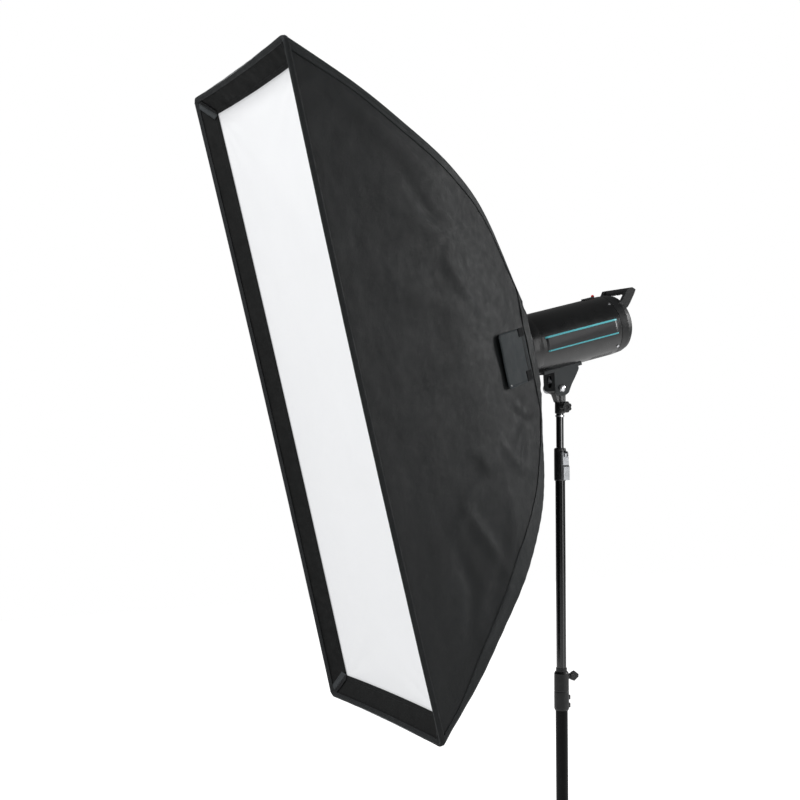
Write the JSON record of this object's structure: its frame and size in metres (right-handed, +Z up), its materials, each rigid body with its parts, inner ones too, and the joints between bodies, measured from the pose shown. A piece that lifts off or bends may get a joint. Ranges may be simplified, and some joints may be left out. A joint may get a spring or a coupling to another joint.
{
  "type": "strip softbox on flash head and stand",
  "caption": "Tall strip softbox with recessed white front, on a round flash head with tilting bracket, carried by a telescopic stand with folding legs.",
  "frame": {"origin": "centre of the base column's end cap on the floor, on the stand's column axis", "axes": "+Z up along the stand, softbox faces -Y and 13.6 degrees down, +X is the right side seen from the front"},
  "size_m": [0.9708, 1.0174, 2.0817],
  "materials": {
    "stand_black": "gloss black powder coat",
    "stand_plastic": "moulded black nylon",
    "bright_steel": "bright plated steel",
    "black_rubber": "soft black rubber",
    "lever_aluminium": "brushed aluminium",
    "bracket_slate": "slate grey textured paint",
    "cast_aluminium": "die-cast aluminium",
    "head_black": "satin black paint",
    "head_plastic": "satin black moulded plastic",
    "sensor_red": "translucent red plastic",
    "display_glass": "smoked display window",
    "button_grey": "grey moulded plastic",
    "board_green": "green laminate",
    "tube_glass": "clear quartz tube",
    "lamp_frosted": "frosted lamp glass",
    "rod_steel": "spring steel rod",
    "fabric_black": "coated black woven nylon",
    "lip_black": "matt black woven nylon",
    "diffuser_white": "white diffusion nylon",
    "flap_slate": "slate grey woven nylon"
  },
  "bodies": {
    "root": {"base_column": "stand_black", "column_cap": "black_rubber", "brace_hub": "stand_plastic", "hub_pins": "bright_steel", "lower_lock_collar": "stand_plastic"},
    "crown": {"leg_crown": "stand_plastic", "crown_pins": "bright_steel"},
    "crown_knob": {"crown_knob": "stand_plastic"},
    "leg_front": {"leg_front": "stand_black", "foot_front": "black_rubber"},
    "leg_left": {"leg_left": "stand_black", "foot_left": "black_rubber"},
    "leg_right": {"leg_right": "stand_black", "foot_right": "black_rubber"},
    "brace_front": {"brace_front": "stand_black"},
    "brace_left": {"brace_left": "stand_black"},
    "brace_right": {"brace_right": "stand_black"},
    "lower_lock_screw": {"lower_lock_screw": "stand_plastic"},
    "middle_section": {"middle_tube": "stand_black", "upper_lock_collar": "stand_plastic"},
    "upper_lock_lever": {"upper_lock_lever": "lever_aluminium"},
    "top_section": {"top_tube": "stand_black"},
    "swivel": {"swivel_socket": "stand_plastic"},
    "socket_knob": {"socket_knob": "stand_plastic"},
    "head": {"tilt_bracket": "bracket_slate", "pivot_bolt": "bright_steel", "barrel_shell": "head_black", "bayonet_mount": "cast_aluminium", "lamp_plate": "cast_aluminium", "flash_tube": "tube_glass", "modelling_lamp": "lamp_frosted", "rear_cap": "head_plastic", "handle_grip": "black_rubber", "control_panel": "head_plastic", "display_window": "display_glass", "power_inlet": "head_plastic", "slave_sensor": "sensor_red", "main_board": "board_green", "capacitors": "cast_aluminium", "fan_frame": "head_plastic", "case_screws": "bright_steel", "mount_insert": "cast_aluminium", "retaining_ring": "cast_aluminium", "ring_screws": "bright_steel"},
    "tilt_lever": {"tilt_lever": "cast_aluminium"},
    "umbrella_screw": {"umbrella_screw": "stand_plastic"},
    "bayonet_latch": {"bayonet_latch": "head_plastic"},
    "fan_rotor": {"fan_rotor": "head_plastic"},
    "test_button": {"test_button": "button_grey"},
    "lamp_button": {"lamp_button": "button_grey"},
    "control_dial": {"control_dial": "button_grey"},
    "power_switch": {"power_switch": "button_grey"},
    "softbox": {"speedring": "cast_aluminium", "support_rods": "rod_steel", "fabric_shell": "fabric_black", "front_lip": "lip_black", "front_diffuser": "diffuser_white", "inner_baffle": "diffuser_white"},
    "access_flap_right": {"access_flap_right": "flap_slate"},
    "access_flap_left": {"access_flap_left": "flap_slate"}
  },
  "joints": [
    {"name": "crown_slide", "type": "slide", "parent": "root", "child": "crown", "axis": [0, 0, 1], "range_m": [0, 0.192]},
    {"name": "leg_front_fold", "type": "hinge", "parent": "crown", "child": "leg_front", "pos_m": [0, -0.03, 0.427], "axis": [1, 0, 0], "range_deg": [0, 47]},
    {"name": "leg_left_fold", "type": "hinge", "parent": "crown", "child": "leg_left", "pos_m": [-0.02598, 0.015, 0.427], "axis": [-0.5, -0.866, 0], "range_deg": [0, 47]},
    {"name": "leg_right_fold", "type": "hinge", "parent": "crown", "child": "leg_right", "pos_m": [0.02598, 0.015, 0.427], "axis": [-0.5, 0.866, 0], "range_deg": [0, 47]},
    {"name": "brace_front_fold", "type": "hinge", "parent": "root", "child": "brace_front", "pos_m": [0, -0.03, 0.08], "axis": [-1, 0, 0], "range_deg": [0, 47]},
    {"name": "brace_left_fold", "type": "hinge", "parent": "root", "child": "brace_left", "pos_m": [-0.02598, 0.015, 0.08], "axis": [0.5, 0.866, 0], "range_deg": [0, 47]},
    {"name": "brace_right_fold", "type": "hinge", "parent": "root", "child": "brace_right", "pos_m": [0.02598, 0.015, 0.08], "axis": [0.5, -0.866, 0], "range_deg": [0, 47]},
    {"name": "crown_knob_turn", "type": "hinge", "parent": "crown", "child": "crown_knob", "pos_m": [0, 0.034, 0.434], "axis": [0, 1, 0], "range_deg": [0, 720]},
    {"name": "lower_lock_turn", "type": "hinge", "parent": "root", "child": "lower_lock_screw", "pos_m": [0, 0.02, 0.861], "axis": [0, 1, 0], "range_deg": [0, 720]},
    {"name": "middle_slide", "type": "slide", "parent": "root", "child": "middle_section", "axis": [0, 0, 1], "range_m": [-0.395, 0.25]},
    {"name": "upper_lock_flip", "type": "hinge", "parent": "middle_section", "child": "upper_lock_lever", "pos_m": [0.017, 0, 1.34], "axis": [0, -1, 0], "range_deg": [0, 110]},
    {"name": "top_slide", "type": "slide", "parent": "middle_section", "child": "top_section", "axis": [0, 0, 1], "range_m": [-0.06, 0.37]},
    {"name": "pan", "type": "hinge", "parent": "top_section", "child": "swivel", "pos_m": [0, 0, 1.44], "axis": [0, 0, 1], "continuous": true},
    {"name": "socket_knob_turn", "type": "hinge", "parent": "swivel", "child": "socket_knob", "pos_m": [0.016, 0, 1.44], "axis": [1, 0, 0], "range_deg": [0, 720]},
    {"name": "tilt", "type": "hinge", "parent": "swivel", "child": "head", "pos_m": [0, -0.009, 1.48], "axis": [1, 0, 0], "range_deg": [-75, 20]},
    {"name": "tilt_lever_turn", "type": "hinge", "parent": "head", "child": "tilt_lever", "pos_m": [-0.028, -0.009, 1.48], "axis": [1, 0, 0], "range_deg": [-60, 0]},
    {"name": "umbrella_screw_turn", "type": "hinge", "parent": "head", "child": "umbrella_screw", "pos_m": [-0.025, 0.01039, 1.51041], "axis": [-1, 0, 0], "range_deg": [0, 720]},
    {"name": "bayonet_release", "type": "slide", "parent": "head", "child": "bayonet_latch", "axis": [0, 0.972, 0.2351], "range_m": [0, 0.008], "stiffness_N_per_m": 400},
    {"name": "fan_spin", "type": "hinge", "parent": "head", "child": "fan_rotor", "pos_m": [0, 0.11988, 1.61921], "axis": [0, 0.972, 0.2351], "continuous": true},
    {"name": "test_button_press", "type": "slide", "parent": "head", "child": "test_button", "axis": [0, -0.972, -0.2351], "range_m": [0, 0.002], "stiffness_N_per_m": 800},
    {"name": "lamp_button_press", "type": "slide", "parent": "head", "child": "lamp_button", "axis": [0, -0.972, -0.2351], "range_m": [0, 0.002], "stiffness_N_per_m": 800},
    {"name": "dial_turn", "type": "hinge", "parent": "head", "child": "control_dial", "pos_m": [0, 0.14951, 1.62432], "axis": [0, 0.972, 0.2351], "continuous": true},
    {"name": "power_rock", "type": "hinge", "parent": "head", "child": "power_switch", "pos_m": [-0.02, 0.14738, 1.59911], "axis": [1, 0, 0], "range_deg": [0, 12]},
    {"name": "softbox_roll", "type": "hinge", "parent": "head", "child": "softbox", "pos_m": [0, -0.12117, 1.56089], "axis": [0, -0.972, -0.2351], "continuous": true},
    {"name": "flap_right_open", "type": "hinge", "parent": "softbox", "child": "access_flap_right", "pos_m": [0.10088, -0.14547, 1.55502], "axis": [0, -0.2351, 0.972], "range_deg": [0, 110]},
    {"name": "flap_left_open", "type": "hinge", "parent": "softbox", "child": "access_flap_left", "pos_m": [-0.10088, -0.14547, 1.55502], "axis": [0, 0.2351, -0.972], "range_deg": [0, 110]}
  ],
  "couplings": [
    {"joint": "leg_front_fold", "follows": "crown_slide", "rad_per_m": 4.2724},
    {"joint": "leg_left_fold", "follows": "crown_slide", "rad_per_m": 4.2724},
    {"joint": "leg_right_fold", "follows": "crown_slide", "rad_per_m": 4.2724},
    {"joint": "brace_front_fold", "follows": "crown_slide", "rad_per_m": 4.2724},
    {"joint": "brace_left_fold", "follows": "crown_slide", "rad_per_m": 4.2724},
    {"joint": "brace_right_fold", "follows": "crown_slide", "rad_per_m": 4.2724}
  ]
}
